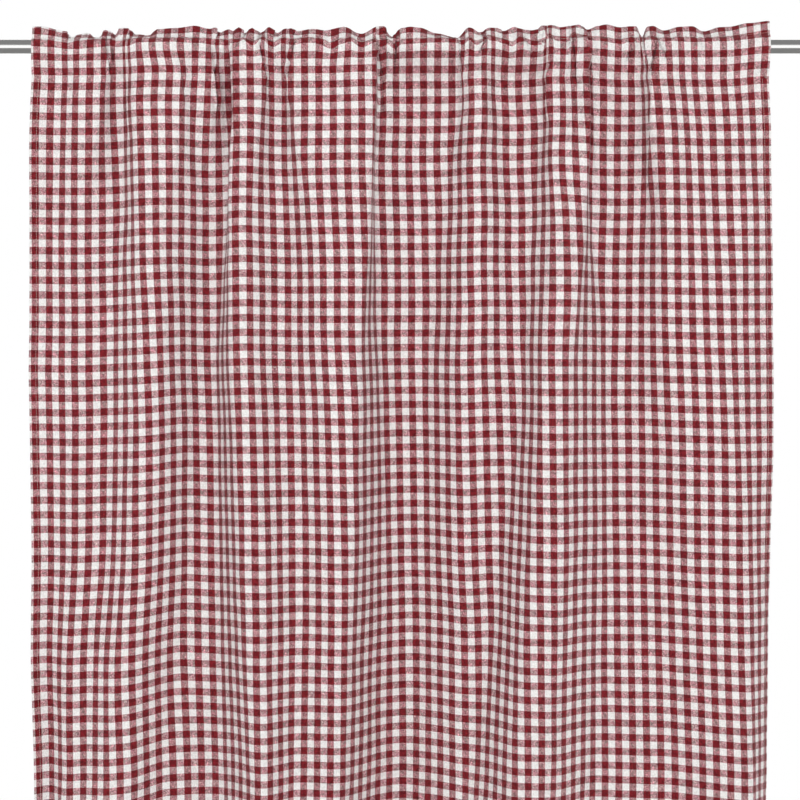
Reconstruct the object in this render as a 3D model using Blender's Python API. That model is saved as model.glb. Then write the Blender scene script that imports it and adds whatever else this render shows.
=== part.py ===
"""A gathered gingham curtain panel hanging by its rod pocket from a plain round rod.

Metres, +Z up. The origin is the middle of the rod's axis, +X runs along the rod and the
panel's good side faces -Y. Depths of the cloth are given as "forward", which is towards -Y.
"""

import math

import bmesh
import bpy
import numpy as np
from mathutils import Matrix

# The rod
ROD_DIAMETER = 0.019
ROD_LENGTH = 1.20
ROD_SIDES = 48
ROD_GAP = 0.0003  # between the rod and the inside of the pocket

# The cloth as it is cut and hemmed, counted in repeats of its check
CHECK_ACROSS = 0.0193
CHECKS_WIDE = 63.5
LAYER = 0.0015  # thickness of one layer

# Heights, measured from the rod's axis
UPPER_SEAM = 0.0125
LOWER_SEAM = -0.039
HEM = -2.37
ROWS_BELOW_SEAM = (-0.048, -0.075, -0.12, -0.18, -0.26, -0.36, -0.48, -0.62, -0.79, -1.00, -1.36, -1.82, HEM)

# How far the pocket follows the gathers under it, as a share of their depth
POCKET_FOLLOW = 0.20
SEAM_FOLLOW = 0.08
NECK = -0.07

# Stations are the sections across the width that the loft runs through
STATIONS = 88
STATION_CROWDING = 2.6  # how much closer they lie where the cloth turns sharply

# The two side edges: height, left x, right x
SIDES = (
    (0.00, -0.496, 0.4995),
    (-0.04, -0.497, 0.5000),
    (-0.11, -0.5005, 0.5055),
    (-0.22, -0.505, 0.5100),
    (-0.33, -0.509, 0.5125),
    (-0.44, -0.513, 0.5145),
    (-0.56, -0.512, 0.5165),
    (-0.70, -0.511, 0.5150),
    (-0.84, -0.511, 0.5143),
    (-1.00, -0.507, 0.5160),
    (HEM, -0.502, 0.5080),
)

# The folds, left to right. Each is a stretch of cloth turned about the vertical, given at six heights:
# its centre in checks from the left edge, its width in checks, and its turn in degrees.
# Going right, a plus turn brings the cloth forward and a minus turn takes it back.
FOLD_HEIGHTS = (-0.07, -0.22, -0.44, -0.70, -1.00, HEM)
FOLDS = {
    "left_edge": (
        (0.6, 0.6, 0.6, 0.6, 0.6, 0.8),
        (1.0, 1.0, 1.0, 1.2, 1.3, 1.5),
        (-18, -16, -6, -17, -44, -40),
    ),
    "left": (
        (2.7, 2.3, 2.1, 2.1, 1.9, 2.5),
        (1.4, 1.8, 2.4, 2.2, 2.2, 3.0),
        (34, 26, 20, 31, 52, 45),
    ),
    "a_gather": (
        (5.7, 5.0, 4.4, 4.4, 4.4, 4.4),
        (1.3, 2.0, 1.2, 1.2, 1.2, 1.2),
        (-56, -18, 0, 0, 0, 0),
    ),
    "a_front": (
        (7.95, 7.75, 7.2, 6.6, 5.3, 5.6),
        (1.8, 2.4, 3.0, 2.6, 2.0, 3.0),
        (62, 55, 42, 39, 34, 40),
    ),
    "a_back": (
        (12.7, 12.6, 11.8, 10.9, 9.3, 11.0),
        (1.3, 3.4, 3.8, 3.6, 2.8, 5.0),
        (-46, -36, -42, -41, -40, -36),
    ),
    "b_gather": (
        (15.3, 15.0, 14.2, 13.6, 13.0, 13.0),
        (1.8, 1.2, 1.2, 1.2, 2.0, 1.2),
        (-52, 0, 0, 0, -22, 0),
    ),
    "b_front": (
        (17.0, 16.8, 16.4, 16.5, 16.8, 17.0),
        (1.7, 2.1, 3.2, 3.8, 4.6, 5.0),
        (86, 84, 68, 60, 56, 50),
    ),
    "c_back": (
        (20.6, 20.2, 20.3, 20.9, 21.2, 21.5),
        (1.3, 2.4, 2.4, 2.4, 2.6, 3.0),
        (-62, -40, -40, -40, -47, -42),
    ),
    "c_front": (
        (22.8, 23.4, 23.9, 24.2, 24.2, 24.5),
        (1.2, 2.4, 3.2, 2.2, 1.6, 4.0),
        (60, 42, 30, 26, 13, 20),
    ),
    "d_back": (
        (30.0, 29.75, 29.1, 28.8, 28.3, 28.5),
        (1.72, 2.1, 3.0, 4.2, 4.6, 5.0),
        (-86, -84, -64, -59, -55, -50),
    ),
    "d_foot": (
        (32.2, 31.9, 31.2, 31.6, 31.3, 31.5),
        (1.8, 1.6, 1.8, 1.4, 1.4, 2.0),
        (-24, -16, -34, -28, -23, -20),
    ),
    "e_front": (
        (37.5, 36.8, 35.9, 35.4, 34.6, 34.0),
        (1.7, 2.6, 3.6, 3.4, 4.0, 5.0),
        (56, 50, 43, 39, 36, 34),
    ),
    "e_gather": (
        (39.95, 40.2, 39.8, 39.8, 39.8, 39.8),
        (1.6, 2.2, 1.4, 1.6, 1.6, 1.6),
        (-52, -34, -22, 0, 0, 0),
    ),
    "f_front": (
        (44.6, 44.2, 43.3, 41.8, 39.9, 39.5),
        (1.5, 2.6, 2.8, 3.8, 4.8, 6.0),
        (66, 57, 61, 58, 50, 42),
    ),
    "f_crest": (
        (47.2, 47.0, 47.0, 47.0, 46.0, 46.0),
        (2.0, 1.6, 1.4, 1.4, 1.4, 1.4),
        (40, -24, 0, 0, 0, 0),
    ),
    "f_back": (
        (48.75, 48.65, 48.6, 48.2, 47.0, 46.5),
        (1.1, 1.6, 4.6, 5.2, 5.2, 5.0),
        (-92, -82, -48, -46, -43, -40),
    ),
    "g_front": (
        (53.8, 54.2, 54.1, 55.0, 56.8, 57.0),
        (2.1, 2.2, 2.8, 4.0, 4.0, 6.0),
        (68, 50, 34, 20, 18, 22),
    ),
    "g_back": (
        (57.2, 57.9, 58.0, 58.0, 58.0, 58.0),
        (2.4, 3.0, 1.4, 1.4, 1.4, 1.4),
        (-27, -24, 0, 0, 0, 0),
    ),
    "right_edge": (
        (61.8, 62.4, 62.2, 62.8, 62.4, 61.8),
        (3.4, 2.4, 5.4, 4.4, 3.4, 3.6),
        (-19, -31, -28, -46, -61, -60),
    ),
}
FOLD_SOFTNESS = 0.4  # share of a fold's width over which its turn comes in and goes out

# The frill's top edge, left to right: x, height of the edge above the rod's axis, how far it leans forward
FRILL = (
    (-0.496, 0.027, 0.000),
    (-0.442, 0.016, 0.008),
    (-0.420, 0.020, -0.002),
    (-0.408, 0.016, -0.007),
    (-0.372, 0.025, 0.003),
    (-0.340, 0.016, 0.008),
    (-0.283, 0.029, -0.001),
    (-0.244, 0.019, 0.006),
    (-0.198, 0.025, -0.003),
    (-0.170, 0.019, 0.006),
    (-0.119, 0.025, 0.000),
    (-0.054, 0.016, 0.008),
    (-0.027, 0.027, 0.000),
    (-0.013, 0.017, -0.007),
    (0.013, 0.028, 0.001),
    (0.068, 0.016, 0.008),
    (0.093, 0.027, -0.003),
    (0.109, 0.020, 0.005),
    (0.155, 0.027, -0.001),
    (0.178, 0.021, 0.005),
    (0.240, 0.031, 0.001),
    (0.276, 0.030, -0.003),
    (0.317, 0.028, 0.000),
    (0.327, 0.016, 0.007),
    (0.381, 0.028, -0.002),
    (0.407, 0.021, 0.005),
    (0.455, 0.031, 0.000),
    (0.499, 0.035, -0.002),
)

# Colours in linear light
CLOTH_COLOUR = (0.46, 0.22, 0.23, 1.0)
STEEL_COLOUR = (0.42, 0.40, 0.39, 1.0)

SAMPLES_PER_CHECK = 8


def clear_scene():
    for old in list(bpy.data.objects):
        bpy.data.objects.remove(old, do_unlink=True)


def make_collection(name):
    made = bpy.data.collections.new(name)
    bpy.context.scene.collection.children.link(made)
    return made


def make_material(name, colour, roughness, metallic):
    made = bpy.data.materials.new(name)
    made.use_nodes = True
    shader = made.node_tree.nodes["Principled BSDF"]
    shader.inputs["Base Color"].default_value = colour
    shader.inputs["Roughness"].default_value = roughness
    shader.inputs["Metallic"].default_value = metallic
    return made


def ease(share):
    """A smooth step from 0 to 1."""
    held = np.clip(share, 0.0, 1.0)
    return held * held * (3.0 - 2.0 * held)


def glide(values, height):
    """The value at a height, on a smooth curve through the values at FOLD_HEIGHTS."""
    heights = np.array(FOLD_HEIGHTS[::-1])
    knots = np.array(values[::-1], dtype=float)
    slopes = np.gradient(knots, heights)
    held = float(np.clip(height, heights[0], heights[-1]))
    below = int(np.clip(np.searchsorted(heights, held) - 1, 0, len(heights) - 2))
    span = heights[below + 1] - heights[below]
    t = (held - heights[below]) / span
    start = (1.0 + 2.0 * t) * (1.0 - t) ** 2 * knots[below] + t * (1.0 - t) ** 2 * span * slopes[below]
    end = t * t * (3.0 - 2.0 * t) * knots[below + 1] + t * t * (t - 1.0) * span * slopes[below + 1]
    return start + end


def turns(checks, height):
    """The angle that the cloth makes with the rod, seen from above, at places given in checks."""
    total = np.zeros_like(checks)
    for centre, width, turn in FOLDS.values():
        offset = np.abs(checks - glide(centre, height)) / glide(width, height)
        inside = ease((0.5 + FOLD_SOFTNESS / 2 - offset) / FOLD_SOFTNESS)
        total += math.radians(glide(turn, height)) * inside
    return total


def side(height, column):
    """A side edge's x at a height. Column 1 is the left edge and column 2 the right."""
    return float(np.interp(-height, [-row[0] for row in SIDES], [row[column] for row in SIDES]))


def walk(angles):
    """The path of the cloth seen from above: across, and forward."""
    middle = 0.5 * (angles[1:] + angles[:-1])
    step = CHECK_ACROSS / SAMPLES_PER_CHECK
    across = np.concatenate([[0.0], np.cumsum(np.cos(middle))]) * step
    forward = np.concatenate([[0.0], np.cumsum(np.sin(middle))]) * step
    return across, forward


def section(height):
    """The cloth's horizontal section at a height: places in checks, x and forward.

    The width of cloth is fixed, so all turns are scaled together until the section is as
    wide as the panel hangs there.
    """
    checks = np.arange(int(CHECKS_WIDE * SAMPLES_PER_CHECK) + 1) / SAMPLES_PER_CHECK
    angles = turns(checks, height)
    left = side(height, 1)
    wanted = side(height, 2) - left
    low, high = 0.5, 1.5
    for _ in range(30):
        scale = 0.5 * (low + high)
        if walk(angles * scale)[0][-1] > wanted:
            low = scale
        else:
            high = scale
    across, forward = walk(angles * scale)
    return checks, left + across, forward - forward.mean()


def station_places():
    """Places in checks of the loft's stations, closer together where the folds turn sharply."""
    fine = np.linspace(0.0, CHECKS_WIDE, 1271)
    crowding = np.ones_like(fine)
    for height in FOLD_HEIGHTS[:5]:
        crowding += STATION_CROWDING / 5 * np.abs(np.gradient(turns(fine, height), fine))
    travelled = np.concatenate([[0.0], np.cumsum(0.5 * (crowding[1:] + crowding[:-1]))])
    return np.interp(np.linspace(0.0, travelled[-1], STATIONS), travelled, fine)


def sampled_section(places, height):
    """x and forward of the section at a height, at the stations."""
    checks, x, forward = section(height)
    return np.interp(places, checks, x), np.interp(places, checks, forward)


def side_on(x, forward):
    """Unit vectors across a horizontal curve, pointing forward: their x and forward parts."""
    along_x = np.gradient(x)
    along_forward = np.gradient(forward)
    length = np.hypot(along_x, along_forward)
    return -along_forward / length, along_x / length


def ring(x, forward, height, out=0.0, tilt=0.0):
    """One line of points along the width, moved out by a distance square to the cloth.

    out is plus on the front and minus on the back. tilt is how steeply the cloth's outward
    direction points up, in degrees.
    """
    across_x, across_forward = side_on(x, forward)
    level = out * math.cos(math.radians(tilt))
    rise = abs(out) * math.sin(math.radians(tilt))
    heights = np.broadcast_to(height, x.shape)
    return np.column_stack([x + level * across_x, -(forward + level * across_forward), heights + rise])


def pocket_rings(x, neck, seam):
    """The pocket's outer and inner rings, from its top round the front, and round the back.

    The inside is an eight-sided tunnel around the rod that narrows to the lower seam.
    """
    clear = ROD_DIAMETER / 2 + ROD_GAP
    corner = clear * math.tan(math.radians(22.5))
    middle = 0.55 * LOWER_SEAM
    share = (-corner - middle) / (-corner - LOWER_SEAM)
    sides = []
    for facing in (1, -1):
        swell = POCKET_FOLLOW * (neck - neck.min() if facing > 0 else neck.max() - neck)
        rows = (
            (np.full_like(x, facing * corner), clear, 67.5),
            (facing * (clear + 0.5 * swell), corner, 22.5),
            (facing * (clear + swell), -corner, 0.0),
            ((1 - share) * facing * (clear + swell) + share * seam + facing * 0.001, middle, 0.0),
        )
        inner = [ring(x, forward, height) for forward, height, _ in rows]
        outer = [ring(x, forward, height, facing * LAYER, tilt) for forward, height, tilt in rows]
        sides.append((outer, inner))
    return sides


def frill_rings(x, neck):
    """The frill above the pocket, two layers thick: rows of front and back rings, top first."""
    places, tops, leans = (np.array(column) for column in zip(*FRILL))
    top = np.interp(x, places, tops)
    lean = np.interp(x, places, leans)
    base = SEAM_FOLLOW * neck
    rows = []
    for share in (1.0, 0.5, 0.0):
        height = UPPER_SEAM + share * (top - UPPER_SEAM)
        forward = base + share * share * lean
        rows.append((ring(x, forward, height, LAYER), ring(x, forward, height, -LAYER)))
    return rows


def panel_rings():
    """All rings of the panel: frill, pocket and hanging cloth."""
    places = station_places()
    x_neck, neck = sampled_section(places, NECK)
    seam = 0.7 * neck
    frill = frill_rings(x_neck, neck)
    front_pocket, back_pocket = pocket_rings(x_neck, neck, seam)
    apex = ring(x_neck, seam, LOWER_SEAM + LAYER)
    sheet = [(ring(x_neck, seam, LOWER_SEAM, LAYER), ring(x_neck, seam, LOWER_SEAM, -LAYER))]
    for height in ROWS_BELOW_SEAM:
        x, forward = sampled_section(places, height)
        if height > NECK:
            forward = seam + (neck - seam) * (LOWER_SEAM - height) / (LOWER_SEAM - NECK)
        sheet.append((ring(x, forward, height, LAYER / 2), ring(x, forward, height, -LAYER / 2)))
    return frill, front_pocket, back_pocket, apex, sheet


def add_loop(mesh, rings):
    """A closed band of quads through the rings, which lie in order around the section."""
    rows = [[mesh.verts.new(point) for point in points] for points in rings]
    for here, there in zip(rows, rows[1:] + rows[:1]):
        for station in range(len(here) - 1):
            mesh.faces.new((here[station], here[station + 1], there[station + 1], there[station]))
    return rows


def close_end(mesh, station, outer, inner, frill_rows, pocket_rows):
    """The flat side edge of the panel at a station, between its outer and inner loops."""
    out = [row[station] for row in outer]
    into = [row[station] for row in inner]
    count = len(out)
    front_seam = frill_rows + pocket_rows
    back = [out[count - 1 - index] for index in range(count)]
    for index in range(frill_rows - 1):
        mesh.faces.new((out[index], out[index + 1], back[index + 1], back[index]))
    base = frill_rows - 1
    front_in = into[:pocket_rows]
    back_in = into[:pocket_rows:-1]
    apex = into[pocket_rows]
    mesh.faces.new((out[base], front_in[0], back_in[0], back[base]))
    for outside, inside in ((out, front_in), (back, back_in)):
        mesh.faces.new((outside[base], outside[base + 1], inside[0]))
        for index in range(pocket_rows - 1):
            first = base + 1 + index
            mesh.faces.new((outside[first], outside[first + 1], inside[index + 1], inside[index]))
        mesh.faces.new((outside[front_seam - 1], outside[front_seam], apex, inside[-1]))
    mesh.faces.new((out[front_seam], back[front_seam], apex))
    for index in range(front_seam, count // 2 - 1):
        mesh.faces.new((out[index], out[index + 1], back[index + 1], back[index]))


def make_panel(collection, material):
    """The panel as one solid: an outer loop and the pocket's inner loop, lofted across the width."""
    frill, (front_out, front_in), (back_out, back_in), apex, sheet = panel_rings()
    outer = [front for front, _ in frill] + front_out + [front for front, _ in sheet]
    outer += [back for _, back in sheet[::-1]] + back_out[::-1] + [back for _, back in frill[::-1]]
    inner = front_in + [apex] + back_in[::-1]
    built = bmesh.new()
    outer_rows = add_loop(built, outer)
    inner_rows = add_loop(built, inner)
    for station in (0, STATIONS - 1):
        close_end(built, station, outer_rows, inner_rows, len(frill), len(front_in))
    bmesh.ops.recalc_face_normals(built, faces=built.faces[:])
    bmesh.ops.triangulate(built, faces=built.faces[:], quad_method="SHORT_EDGE")
    data = bpy.data.meshes.new("curtain_panel")
    built.to_mesh(data)
    built.free()
    data.materials.append(material)
    data.shade_smooth()
    made = bpy.data.objects.new("curtain_panel", data)
    collection.objects.link(made)
    return made


def make_rod(collection, material):
    """A straight round rod along X, with flat ends."""
    built = bmesh.new()
    bmesh.ops.create_cone(
        built,
        cap_ends=True,
        segments=ROD_SIDES,
        radius1=ROD_DIAMETER / 2,
        radius2=ROD_DIAMETER / 2,
        depth=ROD_LENGTH,
        matrix=Matrix.Rotation(math.radians(90), 4, "Y"),
    )
    data = bpy.data.meshes.new("curtain_rod")
    built.to_mesh(data)
    built.free()
    data.materials.append(material)
    data.shade_smooth()
    data.set_sharp_from_angle(angle=math.radians(40))
    made = bpy.data.objects.new("curtain_rod", data)
    collection.objects.link(made)
    return made


def main():
    clear_scene()
    collection = make_collection("curtain_on_rod")
    make_rod(collection, make_material("brushed_steel", STEEL_COLOUR, 0.35, 1.0))
    make_panel(collection, make_material("gingham_cloth", CLOTH_COLOUR, 0.9, 0.0))


main()
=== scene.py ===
"""A gathered gingham curtain panel hanging by its rod pocket from a plain round rod.

Metres, +Z up. The origin is the middle of the rod's axis, +X runs along the rod and the
panel's good side faces -Y. Depths of the cloth are given as "forward", which is towards -Y.
Places across the cloth are counted in checks: a red stripe starts at each whole number.
"""

import math

import bpy
import numpy as np
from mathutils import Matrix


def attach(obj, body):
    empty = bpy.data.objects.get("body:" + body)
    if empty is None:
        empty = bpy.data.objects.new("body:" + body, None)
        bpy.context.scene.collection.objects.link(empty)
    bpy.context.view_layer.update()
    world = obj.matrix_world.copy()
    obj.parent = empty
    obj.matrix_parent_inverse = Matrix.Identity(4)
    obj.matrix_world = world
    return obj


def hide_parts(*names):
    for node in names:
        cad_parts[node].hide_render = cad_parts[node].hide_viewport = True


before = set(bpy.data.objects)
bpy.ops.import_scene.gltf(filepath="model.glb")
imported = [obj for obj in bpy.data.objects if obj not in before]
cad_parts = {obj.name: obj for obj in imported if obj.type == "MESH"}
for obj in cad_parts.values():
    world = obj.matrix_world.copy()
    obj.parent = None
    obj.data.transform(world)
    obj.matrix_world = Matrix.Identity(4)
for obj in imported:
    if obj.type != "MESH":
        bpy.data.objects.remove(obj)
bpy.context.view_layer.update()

# The rod
ROD_RADIUS = 0.0095
ROD_END_ROUNDING = 0.0008

# The cloth and its check
CHECK_ACROSS = 0.0193
CHECK_DOWN = 0.020
CHECKS_WIDE = 63.5
LEFT_SELVEDGE = 0.13  # checks of white cloth beyond the outer red stripes
RIGHT_SELVEDGE = 0.12
BAKE_TILE = 8  # checks each way after which all the fine detail of the cloth repeats
BAKE_CORNER = (16, -26)  # the check at the lower left corner of the square that the OFBake map spans

# Heights, measured from the rod's axis
LOWER_SEAM = -0.039
NECK = -0.07
HEM = -2.37
DARK_ROW = 0.011  # a dark row's middle lies this far above the lower seam, along the cloth

# Make-up of the panel
SIDE_HEM = 0.0105
BOTTOM_HEM = 0.040
POCKET_TURN_IN = 0.009  # how far the pocket's back layer runs below the lower seam
FRILL_DEPTH = 0.0175  # from the upper seam to the top fold
LAYERS_APART = 0.0027  # between the middles of two layers with their side hems between them
SEAM_APART = 0.0014  # the same where they are sewn together
HANGING_TUCK = 0.0012  # how far the side hems lie behind the front: in the hanging cloth,
HEADING_TUCK = 0.0011  # in the heading,
TURN_IN_TUCK = 0.0004  # and where the pocket's back is turned in
SIDE_HEM_COLUMNS = (0.0015, 0.0045, 0.0080, SIDE_HEM)  # from the side edge
FOLD_STEPS = (45.0, 90.0, 135.0)  # degrees round the fold between two layers
HEM_ROWS = (0.030, 0.020, 0.010, 0.004)  # of the bottom hem, above the bottom edge
RAW_EDGE_ROW, RAW_EDGE_TUCK = 0.002, 0.0008  # how far the hem's raw edge is turned in, and how deep it lies

# The rows of the pocket's turned-in edge: distance below the lower seam, distance in front of the cloth's
# middle, and the way the good side faces, in degrees
TURN_IN_ROWS = (
    (0.0, -0.0007, 180.0),
    (0.002, -0.0013, 180.0),
    (0.005, -0.0016, 180.0),
    (POCKET_TURN_IN - 0.0006, -0.0016, 180.0),
    (POCKET_TURN_IN, -0.0011, 270.0),
    (POCKET_TURN_IN - 0.0008, -0.0007, 360.0),
    (POCKET_TURN_IN - 0.0030, -0.0007, 360.0),
)
TURN_IN_STEP = 0.002  # cloth from one of these rows to the next

# How the pocket lies round the rod
POCKET_CLEAR = 0.0006  # between the rod and the cloth that rests on it
ARC_START = -15.0  # degrees above the level at which the front layer leaves the rod downwards
ARC_END = 84.0  # where the upper seam lies on top of the rod
STRAIGHT_FORWARD = 0.008  # how far forward the pocket's front comes between the lower seam and the rod
SWELL, SWELL_SHARE = 0.0012, 0.3  # how far it bulges there, and further as a share of its stand-off
POCKET_ROWS = {1: (8, 9), -1: (5, 8)}  # rows of the straight and of the curved stretch, in front and behind
SEAM_RISE = 0.0013  # how much further off the rod the upper seam lies
SEAM_SPREAD = 12.0  # degrees between the two layers where they meet at the upper seam
SEAM_PUFF = 0.0021  # how far the pocket puffs up just before the upper seam
PUFF_LENGTH = 0.013  # wave length of the puffs along the seam
PUFF_VARIES = 0.3  # share by which they differ
PUFF_WANDER, PUFF_WANDER_PACE = 3.0, 0.13  # how far they wander along it, in radians, and how slowly
SEAM_SINK = 0.0012  # how deep the upper seam lies between the pocket and the frill
SEAM_SHARE = 0.08  # share of the frill over which it rises out of the seam
SEAM_DEPTH = 0.7  # depth of the folds at the lower seam, as a share of that at the neck
SEAM_OPENS, SEAM_OPENING = -0.055, 0.016  # where the front starts to clear the layer behind, and over how far

# How the pocket stands off the rod. It follows the gathers below it more than their broad folds, and touches
# the rod along a percentage of its width
GATHER_CHECKS, GATHER_SHARE, FOLD_SHARE = 6, 0.45, 0.12
TOUCHING, STAND_OFF_SOFT = 30, 0.0012

# The frill: its rows as shares of its depth, how upright it may stand, how strong its creases are, and the
# share over which its layers part
FRILL_ROWS = (0.0, SEAM_SHARE, 0.22, 0.42, 0.66, 0.86, 1.0)
FRILL_UPRIGHT, FRILL_CREASES, APART_SHARE = 0.97, 0.7, 0.3
LEAN_POWER = 1.25  # how its lean backwards grows towards the top

# The two side edges: height, left x, right x
SIDES = (
    (0.00, -0.4945, 0.4995),
    (-0.04, -0.4955, 0.5000),
    (-0.11, -0.5000, 0.5055),
    (-0.22, -0.505, 0.5100),
    (-0.33, -0.509, 0.5125),
    (-0.44, -0.513, 0.5145),
    (-0.56, -0.512, 0.5165),
    (-0.70, -0.511, 0.5150),
    (-0.84, -0.511, 0.5143),
    (-1.00, -0.507, 0.5160),
    (HEM, -0.502, 0.5080),
)

# The folds, left to right. Each is a stretch of cloth turned about the vertical, given at seven heights:
# its centre in checks from the left edge, its width in checks, and its turn in degrees.
# Going right, a plus turn brings the cloth forward and a minus turn takes it back.
FOLD_HEIGHTS = (0.0, -0.07, -0.22, -0.44, -0.70, -1.00, HEM)
FOLDS = {
    "left_edge": (
        (0.6, 0.6, 0.6, 0.6, 0.6, 0.6, 0.8),
        (1.0, 1.0, 1.0, 1.0, 1.2, 1.3, 1.5),
        (-18, -18, -16, -6, -17, -44, -40),
    ),
    "left": (
        (2.7, 2.7, 2.3, 2.1, 2.1, 1.9, 2.5),
        (1.4, 1.4, 1.8, 2.4, 2.2, 2.2, 3.0),
        (34, 34, 26, 20, 31, 52, 45),
    ),
    "a_gather": (
        (5.7, 5.7, 5.0, 4.4, 4.4, 4.4, 4.4),
        (1.3, 1.3, 2.0, 1.2, 1.2, 1.2, 1.2),
        (-56, -56, -18, 0, 0, 0, 0),
    ),
    "a_front": (
        (7.9, 7.95, 7.75, 7.2, 6.6, 5.3, 5.6),
        (1.7, 1.8, 2.4, 3.0, 2.6, 2.0, 3.0),
        (62, 62, 55, 42, 39, 34, 40),
    ),
    "a_back": (
        (12.6, 12.7, 12.6, 11.8, 10.9, 9.3, 11.0),
        (2.0, 1.3, 3.4, 3.8, 3.6, 2.8, 5.0),
        (-34, -46, -36, -42, -41, -40, -36),
    ),
    "b_gather": (
        (15.1, 15.3, 15.0, 14.2, 13.6, 13.0, 13.0),
        (1.9, 1.8, 1.2, 1.2, 1.2, 2.0, 1.2),
        (-56, -52, 0, 0, 0, -22, 0),
    ),
    "b_front": (
        (17.0, 17.0, 16.8, 16.4, 16.5, 16.8, 17.0),
        (1.6, 1.7, 2.1, 3.2, 3.8, 4.6, 5.0),
        (86, 86, 84, 68, 60, 56, 50),
    ),
    "c_back": (
        (20.6, 20.6, 20.2, 20.3, 20.9, 21.2, 21.5),
        (1.2, 1.3, 2.4, 2.4, 2.4, 2.6, 3.0),
        (-62, -62, -40, -40, -40, -47, -42),
    ),
    "c_front": (
        (22.8, 22.8, 23.4, 23.9, 24.2, 24.2, 24.5),
        (1.2, 1.2, 2.4, 3.2, 2.2, 1.6, 4.0),
        (60, 60, 42, 30, 26, 13, 20),
    ),
    "d_back": (
        (30.0, 30.0, 29.75, 29.1, 28.8, 28.3, 28.5),
        (1.65, 1.72, 2.1, 3.0, 4.2, 4.6, 5.0),
        (-86, -86, -84, -64, -59, -55, -50),
    ),
    "d_foot": (
        (32.2, 32.2, 31.9, 31.2, 31.6, 31.3, 31.5),
        (1.8, 1.8, 1.6, 1.8, 1.4, 1.4, 2.0),
        (-24, -24, -16, -34, -28, -23, -20),
    ),
    "e_front": (
        (37.5, 37.5, 36.8, 35.9, 35.4, 34.6, 34.0),
        (1.7, 1.7, 2.6, 3.6, 3.4, 4.0, 5.0),
        (56, 56, 50, 43, 39, 36, 34),
    ),
    "e_gather": (
        (39.9, 39.95, 40.2, 39.8, 39.8, 39.8, 39.8),
        (1.6, 1.6, 2.2, 1.4, 1.6, 1.6, 1.6),
        (-52, -52, -34, -22, 0, 0, 0),
    ),
    "f_front": (
        (44.6, 44.6, 44.2, 43.3, 41.8, 39.9, 39.5),
        (1.5, 1.5, 2.6, 2.8, 3.8, 4.8, 6.0),
        (66, 66, 57, 61, 58, 50, 42),
    ),
    "f_crest": (
        (47.2, 47.2, 47.0, 47.0, 47.0, 46.0, 46.0),
        (2.0, 2.0, 1.6, 1.4, 1.4, 1.4, 1.4),
        (40, 40, -24, 0, 0, 0, 0),
    ),
    "f_back": (
        (48.75, 48.75, 48.65, 48.6, 48.2, 47.0, 46.5),
        (1.1, 1.1, 1.6, 4.6, 5.2, 5.2, 5.0),
        (-92, -92, -82, -48, -46, -43, -40),
    ),
    "g_front": (
        (53.8, 53.8, 54.2, 54.1, 55.0, 56.8, 57.0),
        (2.1, 2.1, 2.2, 2.8, 4.0, 4.0, 6.0),
        (68, 68, 50, 34, 20, 18, 22),
    ),
    "g_back": (
        (57.2, 57.2, 57.9, 58.0, 58.0, 58.0, 58.0),
        (2.4, 2.4, 3.0, 1.4, 1.4, 1.4, 1.4),
        (-27, -27, -24, 0, 0, 0, 0),
    ),
    "right_edge": (
        (61.8, 61.8, 62.4, 62.2, 62.8, 62.4, 61.8),
        (3.4, 3.4, 2.4, 5.4, 4.4, 3.4, 3.6),
        (-19, -19, -31, -28, -46, -61, -60),
    ),
}
FOLD_SOFTNESS = 0.4  # share of a fold's width over which its turn comes in and goes out
SAMPLES_PER_CHECK = 16
SCALING_RANGE = (0.5, 1.5)  # in which the scale of a section's turns is sought
SCALING_STEPS = 30  # halvings of that range

# How far the cloth lies to the right of where its folds alone put it, in millimetres: one row for each
# height, with its values at these places in checks
SWAY_PLACES = (0, 8, 15, 20, 30, 37, 44, 47.5, 50, 55, 63.5)
SWAYS = {
    0.00: (0, 0, 0, 0, -2, -3, -3, -5, 0, -5, -2),
    -0.06: (0, 0, 0, 0, -2, -2, -3, -5, 0, -4, -2),
    -0.11: (0, 2, 0, -1, -1, -2, 0, -5, -2, -4, -2),
    -0.22: (0, 0, -4, -4, -4, -3, -3, -3, 1, -4, -1),
    -0.29: (0, -1, -5, -3, -4, -5, -7, -3, 2, -2, -1),
    -0.37: (1, 2, -2, 0, -2, 0, -4, -1, 4, 0, -1),
    -0.45: (1, 5, 2, 4, 4, 4, 3, 2, 2, 1, 0),
    -0.60: (1, 4, 3, 4, 3, 2, 2, 1, 1, 0, 0),
    -0.70: (1, 3, 2, 3, 2, 1, 1, 1, 3, 1, 0),
    -0.80: (-1, -1, 3, 4, 1, 4, 2, 2, 3, 2, 0),
    -1.00: (-2, 0, 5, 4, 0, 5, 0, 0, -1, 0, 0),
    HEM: (0, 0, 0, 0, 0, 0, 0, 0, 0, 0, 0),
}

# How much higher the check sits than the average: place in checks, lift at the heading and further lift
# a metre below it, both in millimetres
LIFTS = (
    (0.0, -4.5, -13), (2.0, -5.5, -11), (5.5, -5.0, -6), (8.0, -1.6, -4), (9.5, 0.0, -2), (12.0, 0.2, 2.5),
    (14.7, -3.0, 3.5), (16.3, -1.0, 5.5), (19.0, 3.2, 4), (20.4, 1.0, 6), (22.2, -1.0, 7), (25.0, 0.2, 6.5),
    (28.5, 0.8, 3), (31.5, -1.6, 5), (36.0, -1.2, 6.5), (38.0, 1.5, 1.5), (39.0, 2.5, 2), (42.0, 0.8, 5),
    (44.0, 3.6, 1.5), (46.0, 5.5, -4), (48.0, 3.0, -1.5), (50.5, -0.3, -1.5), (55.0, 1.0, -5.5),
    (59.0, -0.3, -8), (63.5, 0.6, -17),
)
LIFT_START, LIFT_FULL = -0.15, -1.0  # heights between which the further lift comes in

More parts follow.
